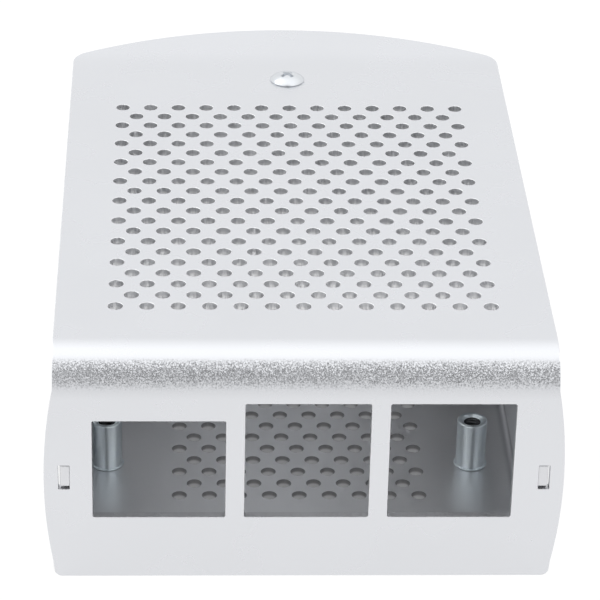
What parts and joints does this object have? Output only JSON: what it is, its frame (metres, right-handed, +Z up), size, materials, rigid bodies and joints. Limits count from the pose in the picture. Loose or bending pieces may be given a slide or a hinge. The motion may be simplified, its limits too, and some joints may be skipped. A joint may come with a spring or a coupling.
{
  "type": "single board computer case",
  "caption": "Folded sheet metal enclosure for a small computer board, with a perforated screw-on cover, connector windows in front and threaded standoffs inside.",
  "frame": {"origin": "bottom centre of the whole enclosure, on the surface it stands on", "axes": "+Z up; -Y out of the front panel with the connector windows; +X to the right seen from the front"},
  "size_m": [0.0654, 0.0976, 0.0331],
  "materials": {
    "cover_sheet": "bead-blasted, clear anodised",
    "tray_sheet": "bead-blasted, clear anodised",
    "plated_standoff": "bright zinc plate",
    "plated_nut": "bright zinc plate",
    "screw_steel": "nickel plate"
  },
  "bodies": {
    "enclosure": {"top_cover": "cover_sheet", "base_tray": "tray_sheet", "standoff_front_left": "plated_standoff", "standoff_front_right": "plated_standoff", "standoff_rear_left": "plated_standoff", "standoff_rear_right": "plated_standoff", "clinch_nut": "plated_nut"},
    "screw": {"cover_screw": "screw_steel"}
  },
  "joints": [
    {"name": "screw_out", "type": "slide", "parent": "enclosure", "child": "screw", "axis": [0, 0, 1], "range_m": [0, 0.0055]}
  ]
}
